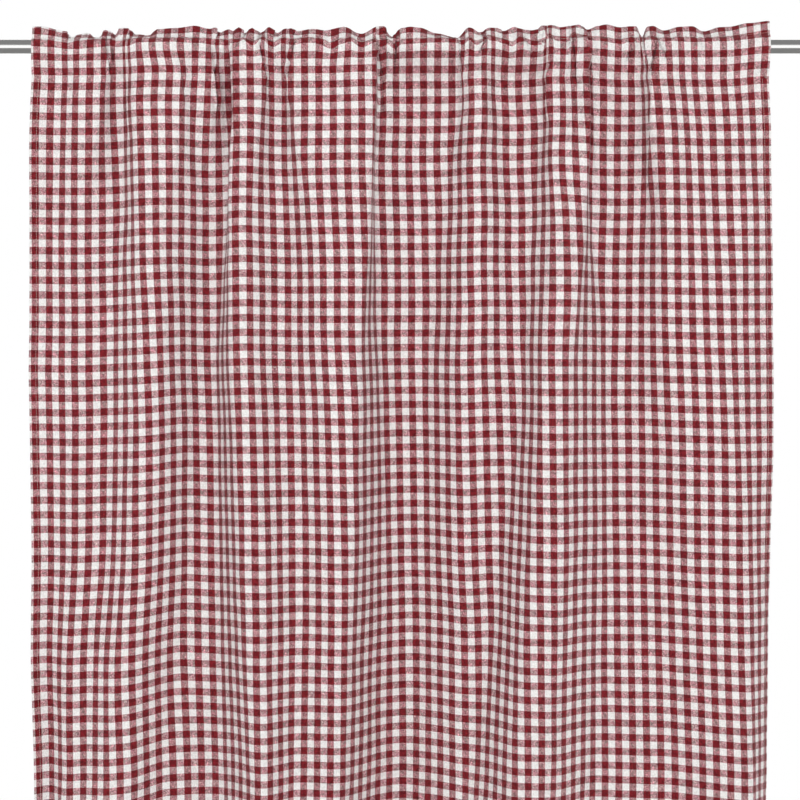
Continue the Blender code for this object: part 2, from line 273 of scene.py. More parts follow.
# The same for the heading alone: place in checks, and lift in millimetres at the top
HEADING_LIFTS = (
    (0.0, 0), (6.5, 0), (8.5, -3), (12.0, -3), (14.0, 0), (18.5, -3), (20.5, -1), (26.0, -3.5),
    (29.0, -1.5), (30.2, 0), (30.9, -5), (31.7, 0), (34.0, 1), (38.0, -1), (46.5, -2), (49.0, 1),
    (55.0, -2.5), (60.0, -1), (63.5, 3.5),
)
HEADING_FULL, HEADING_GONE = -0.03, -0.13  # heights between which these lifts die away

# The frill's top edge, left to right: x and height of each crest, dip and shoulder, in millimetres
FRILL_TOP = (
    (-498, 27), (-484, 27), (-450, 21), (-443, 13), (-434, 17), (-421, 19.5), (-412, 12.5), (-406, 13),
    (-399, 23), (-393, 22), (-384, 16), (-376, 25), (-368, 25), (-357, 18), (-340, 16.5), (-328, 24.5),
    (-302, 26), (-277, 28.5), (-256, 24.5), (-250, 26), (-244, 20), (-231, 23.5), (-225, 21.5), (-217, 26),
    (-210, 19), (-200, 25), (-189, 20), (-176, 26), (-166, 19), (-156, 25), (-147, 25), (-139, 22),
    (-118, 25), (-98, 22), (-75, 27), (-52, 17.5), (-29, 27.5), (-22, 27.5), (-12, 14), (3, 25.5), (14, 27),
    (27, 26), (50, 19), (78, 13), (93, 26.5), (107, 19.5), (121, 26.5), (131, 26), (140, 21.5), (155, 26.5),
    (178, 22), (185, 23), (191, 28), (203, 29.5), (216, 26), (240, 30), (254, 24), (266, 28), (277, 30),
    (296, 26), (311, 28), (318, 28), (328, 13.5), (335, 28), (341, 28.5), (356, 22.5), (378, 27.5),
    (394, 28), (411, 21.5), (432, 27), (444, 27.5), (470, 32), (500, 35),
)

# The upper seam in the same way. Where it is lower than the rod's top it has slipped forward over the rod
UPPER_SEAM = (
    (-497, 10.3), (-469, 9.6), (-443, 6.7), (-433, 8.3), (-410, 9.9), (-389, 10.4), (-379, 7.9),
    (-365, 9.9), (-351, 11.3), (-270, 11.6), (-254, 10.3), (-219, 9.1), (-210, 11.6), (-197, 5.7),
    (-185, 12.7), (-170, 6.3), (-160, 11.6), (-142, 9.9), (-124, 12.4), (-108, 10.8), (-92, 4.8),
    (-80, 10.3), (-66, 11.6), (-51, 5.2), (-31, 10.8), (-16, 9.6), (-7, 4.0), (3, 10.3), (34, 11.1),
    (55, 12), (77, 10.9), (84, 8.3), (92, 12), (103, 6), (119, 14.5), (139, 10.3), (151, 6), (160, 13.6),
    (181, 6.3), (190, 6.9), (200, 14.5), (210, 9.5), (224, 8.9), (235, 16.5), (243, 12.8), (260, 12.3),
    (297, 9.7), (311, 12.9), (328, 11.6), (338, 14), (352, 10.7), (379, 13.2), (406, 11.5), (433, 13.2),
    (460, 14.8), (498, 17.3),
)

# Creases of the heading and of the frill, in millimetres: x and height of the top and of the foot, depth of
# the trough, its half width, and the step across it. The step is plus where the right side lies in front.
CREASES = {
    "a_loop": (-395, 12, -390, -34, 7.5, 1.1, -1),
    "a_small": (-386, 1, -386, -22, 6, 1.1, 1),
    "a_edge": (-368.5, 9, -368, -120, 2, 1.1, 3.5),
    "b_soft": (-295, -20, -286, -80, 1.5, 2, -2),
    "b_curl": (-248, 30, -246, 14, 9, 1.1, 0),
    "b_valley": (-252, -4, -244.5, -90, 7, 1.3, 0),
    "b_edge": (-224, 10, -224, -118, 3, 1.3, 6.5),
    "c_left": (-188, 2, -180, -44, 6, 1.1, -2),
    "c_left_foot": (-180, -42, -180, -78, 3, 1.2, -2),
    "c_right": (-142, 4, -152, -40, 7.5, 1.1, -2),
    "c_right_foot": (-152, -38, -151, -78, 4.5, 1.1, 2),
    "d_left": (-32, 6, -24.5, -36, 6, 1.1, -4),
    "d_left_foot": (-24.5, -34, -24, -86, 4.5, 1.2, -4),
    "d_right": (-18.5, 22, -16, -40, 6, 1.1, -2),
    "d_far": (-5, 14, -7, -38, 7, 1.2, 3),
    "e_top": (78.5, 9, 84, -36, 7, 1.1, 3),
    "e_edge": (84, -34, 84, -120, 2.5, 1.2, 4),
    "e_right": (115.5, 14, 106.5, -10, 9, 1.1, 2),
    "f_first": (167, 9, 179, -10, 8, 1.1, -1),
    "f_loop": (191.5, 20, 191, -6, 7.5, 1.1, 2),
    "f_left": (203, -12, 199, -38, 5, 1.1, 3),
    "f_left_foot": (199, -36, 198.5, -96, 4, 1.1, 3),
    "f_pucker": (234, 13, 223, -2, 6, 1.1, 0),
    "f_middle": (232, 9, 238.5, -52, 6, 1.2, -2),
    "f_top": (251, 20, 259, -38, 7, 1.2, -4),
    "f_edge": (259, -36, 263, -160, 4, 1.3, -6),
    "g_first": (317, 7, 304, -18, 7, 1.1, 1),
    "g_notch": (326, 14, 331, -26, 6, 1.1, 2),
    "g_top": (343, -2, 335, -30, 10.5, 1.2, 4),
    "g_edge": (335, -28, 337, -205, 3, 1.3, 5.5),
    "g_right": (346, 9, 356, -18, 10, 1.2, -1.5),
    "h_small": (402, 6, 408, -8, 6, 1.1, 0),
    "frill_a_slope": (-449, 22, -446, 8, 4, 1.1, -1.5),
    "frill_a_nick": (-413, 19, -411, 8, 4, 1.1, 1.5),
    "frill_a_ring": (-384.5, 23, -388, 8, 6, 1.1, 1),
    "frill_a_end": (-366, 26, -364, 9, 5, 1.1, -2),
    "frill_b_first": (-212, 25, -210, 9, 6, 1.1, -1.5),
    "frill_b_second": (-188.5, 24, -190, 8, 5.5, 1.1, 1),
    "frill_c_first": (-168, 24, -171, 8, 5, 1.1, -1),
    "frill_c_second": (-146, 25, -142, 8, 4, 1.1, 1),
    "frill_d_slope": (-58, 22, -52, 7, 4, 1.1, -1.5),
    "frill_e_first": (108, 22, 112, 10, 5, 1.1, 1),
    "frill_e_second": (137, 25, 139, 9, 4.5, 1.1, -1),
    "frill_f_first": (186, 26, 189, 8, 5, 1.1, 1),
    "frill_f_last": (244.5, 30, 242, 14, 5, 1.1, 1),
}
CREASE_TOP = 0.004  # how far above its top a crease has died away
CREASE_FOOT, CREASE_FADE = 1.15, 0.4  # where it ends and over what share of its length it dies away there
LIP_HEIGHT = 0.5  # height of the lips beside a trough, as a share of its depth
LIP_PLACE, LIP_WIDTH = 2.2, 1.2  # how far off they lie and how wide they are, in its half widths
BACK_CREASES = 1.4  # how much of a crease the pocket's back layer has lost where it reaches the rod
CREASE_REACH = 0.024  # how far from a crease its step has died away
CREASE_EDGE = 0.0008  # half width of the step
CREASE_OVERLAP = 0.4  # how far the front side hangs over the back one, as a share of the step
OVERLAP_WIDTH = 1.6  # in half widths of the step

# How far the pocket's stripes lean to the side at the upper seam: place in checks, and millimetres
PULLS = (
    (6.8, 0), (8.6, -2.5), (9.8, -6), (11.6, -6.5), (13.6, 0), (24.5, 0), (26.5, 2.5), (28.0, 0),
)
PULL_START, PULL_FULL = -0.034, 0.004  # heights between which the stripes lean

# The small puckers along the upper seam. Each wave has its share of the depth, its pace, and how far, how
# slowly and from where it wanders
PUCKER_DEPTH = 0.00066
PUCKER_LENGTH = 0.017
PUCKER_REACH = 0.009
PUCKER_WAVES = (
    (1.0, 1.0, 2.3, 0.23, 1.0),
    (0.6, 1.9, 2.0, 0.31, 0.0),
)

# Slight waves all over the cloth: millimetres deep, radians to the metre across and down, and where each
# starts
UNEVEN_WAVES = (
    (0.35, 97.0, 13.0, 0.7),
    (0.30, -61.0, 24.0, 2.1),
    (0.22, 151.0, 37.0, 4.4),
    (0.16, -213.0, 58.0, 1.3),
    (0.12, 307.0, -81.0, 5.2),
)
UNEVEN_BEND, UNEVEN_TURN, UNEVEN_SPREAD = 1.7, 9.0, 0.02  # how far and how often they bend, and out of step
UNEVEN_FULL = 0.05  # how far below the lower seam they have come in

# The stitches. Each has rings at these shares of its length, with their height and girth in thread radii
STITCH_RINGS = (
    (0.0, -0.8, 0.5),
    (0.12, 0.35, 0.95),
    (0.5, 0.9, 1.0),
    (0.88, 0.35, 0.95),
    (1.0, -0.8, 0.5),
)
STITCH_LENGTH = 0.0027
STITCH_GAP = 0.0006
STITCH_INSET = 0.0015  # in from a hem's inner edge
THREAD_RADIUS = 0.00016
THREAD_SIDES = 6

# The loose ends of the lower seam's thread
TAIL_INSET = 0.0045
TAIL_LOOP = 0.0013
TAIL_TIGHTENS = 0.35  # share by which the loop shrinks towards its end
TAIL_TAPER, TAIL_TIP = 8.0, 0.2  # how fast the thread thins at both ends, and the share that is left there
TAIL_TURNS = 1.4
TAIL_DRIFT = 0.0025
TAIL_DROP = 0.0015
TAIL_PROUD = 0.0012
TAIL_RINGS = 36

# The mesh: its columns are closer together at folds and creases, its rows near the lower seam and the hem
COLUMNS = 600
FOLD_CROWDING = 0.15
CREASE_CROWDING = 5.0
CROWDING_REACH = 0.17  # in checks
CROWDING_HEIGHTS = FOLD_HEIGHTS[:5]  # at which the folds are looked up for this
ROW_AT_SEAM, SEAM_GROWTH = 0.003, 0.055
ROW_AT_HEM, HEM_GROWTH = 0.004, 0.3
ROW_SEEN, ROW_UNSEEN, SEEN_TO = 0.022, 0.048, -1.08  # widest rows above and below this height
LAST_ROW = 0.02
POCKET_LEVELS, HEM_LEVELS = 27, 9  # extra heights at which the folds are worked out

# The weave
YARNS = 48  # to each check, both ways
WHITE = (0.885, 0.868, 0.860)
RED = (0.178, 0.0092, 0.0143)
WARP_PINK = ((0.268, 0.070, 0.085), (0.565, 0.365, 0.380))  # red and white yarns where the red runs down
WEFT_PINK = ((0.282, 0.086, 0.106), (0.675, 0.472, 0.489))  # the same where the red runs across
PATCHES = 6.0  # light and dark patches of the weave to each check
WHITE_GRAIN = (0.28, 0.045)  # how much single crossings of yarns vary in brightness, and patches of them
RED_GRAIN = (0.90, 0.40)
NOISE_RANGE = (0.3, 0.7)  # where most values of a noise lie
YARN_SHARE = 0.14  # how much yarns differ from one to the next
OTHER_YARNS = 700.0  # sets the numbers of the yarns across apart from those down
SLUBS = (30.0, 3.0)  # thick places to each check, across the yarns and along them
SLUB_SHARE = 0.62  # how much they count in the brightness of a yarn
BLOTCHES, BLOTCH_SHARE = 0.9, 0.10  # broad blotches to each check, and how much they count
TONES = (0.20, 0.66, 0.86, 1.10)  # range of all these together, and the brightness that it gives
CASTS, CAST_RANGE = 5.0, (0.35, 0.65)  # tinted places to each check, and the noise over which they change
PINK_CAST = (1.12, 0.90, 0.97)
GREY_CAST = (0.90, 1.11, 1.02)
# The weave's colour is darker in the hollows between yarns than on their tops: painted shade
PAINTED_WEAVE_SHADE = (0.0, 0.8, 0.80, 1.03)  # heights on a yarn, and their brightness
CLOTH_ROUGHNESS = (0.97, 0.84)  # between the yarns and on top of them
CLOTH_SHEEN, SHEEN_ROUGHNESS = 0.12, 0.5
CLOTH_SPECULAR = 0.22
SLUB_RELIEF = 0.6  # how much the thickness of a yarn counts in the relief
WEAVE_RELIEF = (0.5, 0.00016)  # strength, and height in metres

# The sewing thread, with its colour between the twists, darker there as painted shade, and on top of them
TWISTS = 5.0  # to each stitch
PAINTED_TWIST_SHADES = ((0.56, 0.47, 0.43), (0.64, 0.56, 0.52))
THREAD_COLOUR = (0.80, 0.74, 0.69)
THREAD_ROUGHNESS = (0.75, 0.55)
THREAD_RELIEF = (0.6, 0.00005)

# The rod's brushed steel
STREAKS = (6.0, 1400.0, 1400.0)  # to the metre
STEEL_GREYS = ((0.31, 0.31, 0.31), (0.42, 0.42, 0.415))
STEEL_ROUGHNESS = (0.08, 0.13)  # from one broad blotch to the next
STREAK_ROUGHNESS = 0.08  # added by the streaks
STEEL_BLOTCHES = 14.0  # to the metre
STEEL_RELIEF = (0.25, 0.00004)

# The floor: half its width, its near and its far edge, and how far below the panel it lies
FLOOR_SIZE = (4.0, -4.5, 3.4)
FLOOR_BELOW = 0.03
FLOOR_GREYS = ((0.78, 0.78, 0.77), (0.84, 0.84, 0.83))
FLOOR_BLOTCHES = 3.0  # to the metre

# The studio light, by direction: a bright field in front and behind, dimmer sides, and grey above and below.
# The edges are sines of the height, and cosines of the angle from straight ahead
BAND_EDGE = (0.37, 0.47)
FIELD_EDGE = (0.82, 0.94)
FIELD_LIGHT = 2.77
SIDE_LIGHT = 0.81
GREY_LIGHT = 0.57
LIGHT_COLOUR = (1.0, 0.998, 0.992)

# The camera looks at the middle of the picture from this far off, tilted down a little
CAMERA_DISTANCE = 3.0
CAMERA_TILT = 4.93  # degrees
CAMERA_LENS = 98.82  # millimetres
MIDDLE_HEIGHT = -0.4778  # height of the picture's middle


def ease(share):
    """A smooth step from 0 to 1."""
    held = np.clip(share, 0.0, 1.0)
    return held * held * (3.0 - 2.0 * held)


def smooth_through(at, places, values):
    """Values at the places asked for, on a smooth curve through the given ones."""
    places = np.asarray(places, dtype=float)
    values = np.asarray(values, dtype=float)
    slopes = np.gradient(values, places)
    held = np.clip(at, places[0], places[-1])
    below = np.clip(np.searchsorted(places, held) - 1, 0, len(places) - 2)
    span = places[below + 1] - places[below]
    t = (held - places[below]) / span
    start = (1.0 + 2.0 * t) * (1.0 - t) ** 2 * values[below] + t * (1.0 - t) ** 2 * span * slopes[below]
    end = t * t * (3.0 - 2.0 * t) * values[below + 1] + t * t * (t - 1.0) * span * slopes[below + 1]
    return start + end


def level_through(at, points):
    """Metres at the places asked for, on a curve that is level at each given point, in millimetres."""
    places, values = (np.array(column) / 1000 for column in zip(*points))
    held = np.clip(at, places[0], places[-1])
    below = np.clip(np.searchsorted(places, held) - 1, 0, len(places) - 2)
    share = (held - places[below]) / (places[below + 1] - places[below])
    return values[below] + (values[below + 1] - values[below]) * ease(share)


def between_points(at, places, points):
    """Points at the places asked for, on straight lines through the given ones."""
    return np.stack([np.interp(at, places, column) for column in points.T], axis=-1)


def at_heights(values, heights):
    """Values given at FOLD_HEIGHTS, read at other heights."""
    return smooth_through(heights, FOLD_HEIGHTS[::-1], values[::-1])


def turns(checks, heights):
    """The angle that the cloth makes with the rod, seen from above: one row for each height."""
    total = np.zeros((len(heights), len(checks)))
    for centre, width, turn in FOLDS.values():
        middle = at_heights(centre, heights)[:, None]
        wide = at_heights(width, heights)[:, None]
        offset = np.abs(checks[None, :] - middle) / wide
        inside = ease((0.5 + FOLD_SOFTNESS / 2 - offset) / FOLD_SOFTNESS)
        total += np.radians(at_heights(turn, heights))[:, None] * inside
    return total


def walk(angles, step):
    """The path of the cloth seen from above: across, and forward."""
    middle = 0.5 * (angles[:, 1:] + angles[:, :-1])
    start = np.zeros((len(angles), 1))
    across = np.hstack([start, np.cumsum(np.cos(middle), axis=1) * step])
    forward = np.hstack([start, np.cumsum(np.sin(middle), axis=1) * step])
    return across, forward


def sections(heights):
    """The cloth's horizontal sections: places in checks, then x and forward, one row for each height.

    The width of cloth is fixed, so all turns at a height are scaled together until the
    section is as wide as the panel hangs there.
    """
    heights = np.asarray(heights, dtype=float)
    first, last = -LEFT_SELVEDGE, CHECKS_WIDE + RIGHT_SELVEDGE
    checks = np.linspace(first, last, int((last - first) * SAMPLES_PER_CHECK) + 1)
    step = (checks[1] - checks[0]) * CHECK_ACROSS
    angles = turns(checks, heights)
    levels, lefts, rights = zip(*SIDES)
    left = np.interp(-heights, np.negative(levels), lefts)
    right = np.interp(-heights, np.negative(levels), rights)
    low, high = (np.full(len(heights), end) for end in SCALING_RANGE)
    for _ in range(SCALING_STEPS):
        scale = 0.5 * (low + high)
        wide = walk(angles * scale[:, None], step)[0][:, -1] > right - left
        low = np.where(wide, scale, low)
        high = np.where(wide, high, scale)
    across, forward = walk(angles * scale[:, None], step)
    return checks, left[:, None] + across, forward - forward.mean(axis=1, keepdims=True)


def sway(checks, heights):
    """How far the cloth lies to the right of where its folds put it, one row for each height."""
    levels = sorted(SWAYS)
    known = np.array([smooth_through(checks, SWAY_PLACES, SWAYS[level]) for level in levels]) / 1000
    return np.column_stack([smooth_through(heights, levels, column) for column in known.T])


def column_places():
    """Places in checks of the mesh's columns, closer together at folds and creases."""
    checks, (x,), _ = sections([0.0])
    crowding = np.ones_like(checks)
    for height in CROWDING_HEIGHTS:
        turning = turns(checks, np.array([height]))[0]
        crowding += FOLD_CROWDING * np.abs(np.gradient(turning, checks))
    for x_top, _, x_foot, *_ in CREASES.values():
        first, last = (float(np.interp(end / 1000, x, checks)) for end in sorted((x_top, x_foot)))
        beyond = np.maximum(np.maximum(first - checks, checks - last), 0.0)
        crowding = np.maximum(crowding, CREASE_CROWDING * np.exp(-((beyond / CROWDING_REACH) ** 2)))
    travelled = np.concatenate([[0.0], np.cumsum(0.5 * (crowding[1:] + crowding[:-1]))])
    return np.interp(np.linspace(0.0, travelled[-1], COLUMNS), travelled, checks)


def hanging_heights():
    """Heights of the mesh's rows from just above the bottom edge up to the lower seam."""
    rows = [LOWER_SEAM]
    while rows[-1] > HEM + LAST_ROW:
        near_seam = ROW_AT_SEAM + SEAM_GROWTH * (LOWER_SEAM - rows[-1])
        widest = ROW_SEEN if rows[-1] > SEEN_TO else ROW_UNSEEN
        near_hem = ROW_AT_HEM + HEM_GROWTH * (rows[-1] - HEM)
        rows.append(rows[-1] - min(near_seam, widest, near_hem))
    return np.array(rows[::-1])


def smoothed(values, samples):
    """A running mean with soft ends over that many samples."""
    window = np.hanning(samples)
    window /= window.sum()
    padded = np.pad(values, samples, mode="edge")
    return np.convolve(padded, window, mode="same")[samples:-samples]


def stand_off(neck, facing):
    """How far the pocket stands off the rod on one side, following the gathers below it."""
    local = facing * (neck - smoothed(neck, GATHER_CHECKS * SAMPLES_PER_CHECK))
    raised = GATHER_SHARE * local + FOLD_SHARE * facing * neck
    raised = raised - np.percentile(raised, TOUCHING)
    return 0.5 * (raised + np.sqrt(raised**2 + STAND_OFF_SOFT**2))


def lift(checks, height):
    """How much higher the check sits at these places than the average."""
    places, heading, further = zip(*LIFTS)
    share = np.clip((LIFT_START - height) / (LIFT_START - LIFT_FULL), 0.0, 1.0)
    millimetres = smooth_through(checks, places, heading) + share * smooth_through(checks, places, further)
    at_top = level_through(checks / 1000, HEADING_LIFTS)
    return millimetres / 1000 + at_top * ease((height - HEADING_GONE) / (HEADING_FULL - HEADING_GONE))


def side_on(x, forward):
    """Unit vectors across a horizontal curve, pointing forward: their x and forward parts."""
    along_x = np.gradient(x)
    along_forward = np.gradient(forward)
    length = np.hypot(along_x, along_forward)
    return -along_forward / length, along_x / length


def bump_at(offset, width):
    """A smooth bump 1 high in the middle."""
    return np.exp(-((offset / width) ** 2))


def crease_moves(x, z):
    """How far the creases move points of the cloth: along it to the right, and out of it."""
    right = np.zeros_like(x)
    forward = np.zeros_like(x)
    for row in CREASES.values():
        x_top, z_top, x_foot, z_foot, depth, width, step = (value / 1000 for value in row)
        share = (z_top - z) / (z_top - z_foot)
        offset = x - (x_top + (x_foot - x_top) * np.clip(share, 0.0, 1.0))
        strength = ease((z_top + CREASE_TOP - z) / CREASE_TOP) * ease((CREASE_FOOT - share) / CREASE_FADE)
        lips = bump_at(np.abs(offset) - LIP_PLACE * width, LIP_WIDTH * width)
        forward += strength * depth * (LIP_HEIGHT * lips - bump_at(offset, width))
        if step:
            facing = math.copysign(1.0, step)
            reach = np.exp(-np.abs(offset) / CREASE_REACH)
            forward += strength * 0.5 * abs(step) * np.tanh(facing * offset / CREASE_EDGE) * reach
            over = bump_at(facing * offset - CREASE_EDGE, OVERLAP_WIDTH * CREASE_EDGE)
            under = bump_at(facing * offset + CREASE_EDGE, OVERLAP_WIDTH * CREASE_EDGE)
            right -= strength * CREASE_OVERLAP * step * (over - under)
    return right, forward


def creased(x, forward, z, strength=1.0, extra=0.0):
    """The cloth's curve at one height, with the creases pressed into it."""
    right, ahead = crease_moves(x, z)
    right = right * np.clip(strength, 0.0, 1.0)
    ahead = (ahead + extra) * strength
    across_x, across_forward = side_on(x, forward)
    return x + ahead * across_x + right * across_forward, forward + ahead * across_forward - right * across_x


def puckers(x, beyond):
    """Small gathers of the upper seam, a given distance away from it."""
    turn = 2 * math.pi * x / PUCKER_LENGTH
    wave = 0.0
    for share, pace, wander, wander_pace, start in PUCKER_WAVES:
        wave = wave + share * np.sin(pace * turn + wander * np.sin(turn * wander_pace + start))
    return PUCKER_DEPTH * wave * np.exp(-np.abs(beyond) / PUCKER_REACH)


def unevenness(x, height):
    """Slight waves of soft cotton, a millimetre or so deep."""
    total = np.zeros_like(x)
    for millimetres, across, down, phase in UNEVEN_WAVES:
        bend = UNEVEN_BEND * np.sin(UNEVEN_TURN * height + across * UNEVEN_SPREAD)
        total += millimetres / 1000 * np.sin(across * x + down * height + phase + bend)
    return total * ease((LOWER_SEAM - height) / UNEVEN_FULL)


class Sheet:
    """Rows of points that make up the panel, from the bottom hem's raw edge to the pocket's."""

    def __init__(self, places):
        self.places = places
        self.rows = []

    def add(self, x, forward, z, facing, path, tuck, out=0.0):
        """facing is the outer side's direction in degrees: 0 forward, 90 up, 180 back.

        path is the distance along the cloth above the lower seam, and tuck how far inside
        this row the side hems lie.
        """
        across_x, across_forward = side_on(x, forward)
        facing = np.radians(np.broadcast_to(facing, x.shape))
        level = np.cos(facing)
        z = np.broadcast_to(z, x.shape)
        path = np.broadcast_to(path, x.shape)
        point = np.column_stack([x + out * across_x, -(forward + out * across_forward), z])
        outward = np.column_stack([level * across_x, -level * across_forward, np.sin(facing)])
        self.rows.append((point, outward, path - lift(self.places, float(z.mean())), tuck))


def add_bottom_hem(sheet, sample):
    """The turned-up layer behind the bottom edge, and the fold into the front layer."""
    radius = LAYERS_APART / 2
    turned = 2 * (LOWER_SEAM - HEM)
    raw_edge = BOTTOM_HEM - RAW_EDGE_ROW
    for above in (raw_edge, BOTTOM_HEM, *HEM_ROWS, radius):
        x, forward = sample(HEM + above)
        inside = RAW_EDGE_TUCK if above == raw_edge else 0.0
        path = -turned - (HEM + above - LOWER_SEAM)
        sheet.add(x, forward, HEM + above, 180.0, path, HANGING_TUCK, inside - LAYERS_APART)
    x, forward = sample(HEM + radius)
    for step in FOLD_STEPS:
        angle = 180.0 + step
        out = radius * (math.cos(math.radians(angle)) - 1)
        z = HEM + radius * (1 + math.sin(math.radians(angle)))
        sheet.add(x, forward, z, angle, HEM - LOWER_SEAM, HANGING_TUCK, out)


def hanging_forward(forward, height, seam, neck):
    """The depth of the hanging cloth, eased into the seam above the neck."""
    if height > NECK:
        share = (LOWER_SEAM - height) / (LOWER_SEAM - NECK)
        forward = seam + (neck - seam) * share
    return forward


def add_front(sheet, sample, heights, seam, neck):
    """The hanging cloth, from the bottom edge up to the lower seam."""
    for height in heights:
        x, forward = sample(height)
        forward = hanging_forward(forward, height, seam, neck)
        x, forward = creased(x, forward, np.full_like(x, height), 1.0, unevenness(x, height))
        out = SEAM_APART / 2 * float(ease((height - SEAM_OPENS) / SEAM_OPENING))
        sheet.add(x, forward, height, 0.0, height - LOWER_SEAM, HANGING_TUCK, out)


def seam_angle(x):
    """Where the upper seam lies on the rod, in degrees above the level, and its distance from the axis."""
    height = level_through(x, UPPER_SEAM)
    radius = ROD_RADIUS + POCKET_CLEAR + SEAM_RISE
    angle = np.degrees(np.arcsin(np.clip(height / radius, 0.0, math.sin(math.radians(ARC_END)))))
    return angle, np.maximum(radius, height / math.sin(math.radians(ARC_END)))


def pocket_length():
    """The length of the straight and the curved stretch of one pocket layer where its seam lies on top."""
    clear = ROD_RADIUS + POCKET_CLEAR
    start = math.radians(ARC_START)
    straight = math.hypot(clear * math.sin(start) - LOWER_SEAM, STRAIGHT_FORWARD)
    return straight, clear * (math.radians(ARC_END) - start)


def back_path():
    """The path at the lower seam on the panel's back, round the pocket and over the frill."""
    return 2 * sum(pocket_length()) + 2 * FRILL_DEPTH + math.pi * LAYERS_APART / 2


def pocket_rows(x, seam, raised, facing, straight_rows, arc_rows):
    """Height, forward, tilt and path of each row of one pocket layer, from the lower seam to the upper."""
    clear = ROD_RADIUS + POCKET_CLEAR
    start = math.radians(ARC_START)
    straight, curved = pocket_length()
    end, seam_radius = seam_angle(x)
    if facing < 0:
        end = 180.0 - SEAM_SPREAD - end
    whole = straight + clear * (np.radians(end) - start)
    along = 2 * math.pi * x / PUFF_LENGTH
    wander = PUFF_WANDER * np.sin(PUFF_WANDER_PACE * along)
    puff = SEAM_PUFF * (1.0 - PUFF_VARIES + PUFF_VARIES * np.sin(along + wander))
    rows = []
    for share in np.linspace(0.0, 1.0, straight_rows + 2)[1:-1]:
        foot = seam + facing * SEAM_APART / 2
        head = facing * (clear + raised) * math.cos(start)
        z = np.full_like(x, LOWER_SEAM + (clear * math.sin(start) - LOWER_SEAM) * share)
        swell = (SWELL_SHARE * raised + SWELL) * math.sin(math.pi * share)
        rows.append((z, foot + (head - foot) * share + facing * swell, np.zeros_like(x), straight * share))

    # Further round, a layer stands off less, rises to the upper seam, puffs up before it and sinks in at it
    for share in np.linspace(0.0, 1.0, arc_rows):
        tilt = ARC_START + (end - ARC_START) * share
        turn = np.radians(tilt)
        stand = raised * np.clip(np.cos(turn), 0.0, 1.0) ** 1.5 * (1.0 - share**4)
        radius = clear + stand + (seam_radius - clear) * share**3
        radius = radius + puff * math.sin(math.pi * share**4) - SEAM_SINK * share**12
        travelled = straight + clear * (turn - start)
        rows.append((radius * np.sin(turn), facing * radius * np.cos(turn), np.maximum(tilt, 0.0), travelled))

    # Where the seam has slipped forward or back, the cloth makes up the difference close to it
    return [
        (z, forward, tilt, travelled + (straight + curved - whole) * (travelled / whole) ** 3)
        for z, forward, tilt, travelled in rows
    ]


def add_pocket(sheet, sample, seam, raised, facing):
    """One layer of the pocket: straight up from the lower seam, then over the rod, or back down again."""
    clear = ROD_RADIUS + POCKET_CLEAR
    x, _ = sample(0.0)
    seam_height = level_through(x, UPPER_SEAM)
    rows = pocket_rows(x, seam, raised, facing, *POCKET_ROWS[facing])
    for z, forward, tilt, path in rows[::facing]:
        x, _ = sample(float(np.mean(z)))
        strength = np.cos(np.radians(tilt))
        if facing < 0:
            strength = strength * (1.0 - BACK_CREASES * np.clip(1.0 - z / LOWER_SEAM, 0.0, 1.0))
            tilt = 180.0 - tilt
            path = back_path() - path
        x, forward = creased(x, forward, z, strength, puckers(x, seam_height - z))
        outwards = np.maximum(clear / np.maximum(np.hypot(forward, z), 0.001), 1.0)
        sheet.add(x, forward * outwards, z * outwards, tilt, path, HEADING_TUCK)


def add_frill(sheet, sample):
    """The frill: front layer up to the top fold, over it, and the back layer down again."""
    x, _ = sample(0.0)
    top = level_through(x, FRILL_TOP)
    foot = level_through(x, UPPER_SEAM)
    seam_at, seam_radius = seam_angle(x)
    base = seam_radius * np.cos(np.radians(seam_at + SEAM_SPREAD / 2))
    seam_path = sum(pocket_length())
    standing = np.minimum(top - foot, FRILL_UPRIGHT * FRILL_DEPTH)
    lean = np.sqrt(FRILL_DEPTH**2 - standing**2)
    radius = LAYERS_APART / 2

    def apart(share):
        return 0.5 * (SEAM_APART + (LAYERS_APART - SEAM_APART) * float(ease(share / APART_SHARE)))

    def row(share):
        height = foot + (top - radius - foot) * share - SEAM_SINK * max(0.0, 1.0 - share / SEAM_SHARE)
        across, forward = creased(
            x, base - lean * share**LEAN_POWER, height, FRILL_CREASES, puckers(x, height - foot)
        )
        return across, forward, height

    for share in FRILL_ROWS:
        path = seam_path + share * FRILL_DEPTH
        sheet.add(*row(share), 0.0, path, HEADING_TUCK, apart(share))
    across, forward, height = row(1.0)
    for angle in FOLD_STEPS:
        turn = math.radians(angle)
        path = seam_path + FRILL_DEPTH + radius * turn
        rise = radius * math.sin(turn)
        sheet.add(across, forward, height + rise, angle, path, HEADING_TUCK, radius * math.cos(turn))
    for share in FRILL_ROWS[::-2]:
        path = seam_path + FRILL_DEPTH * (2 - share) + math.pi * radius
        sheet.add(*row(share), 180.0, path, HEADING_TUCK, -apart(share))


def add_turn_in(sheet, sample, seam, neck):
    """The pocket's back layer below the lower seam, with its raw edge turned in."""
    for number, (below, out, facing) in enumerate(TURN_IN_ROWS):
        height = LOWER_SEAM - below
        x, forward = sample(height)
        forward = hanging_forward(forward, height, seam, neck)
        x, forward = creased(x, forward, np.full_like(x, height))
        sheet.add(x, forward, height, facing, back_path() + number * TURN_IN_STEP, TURN_IN_TUCK, out)


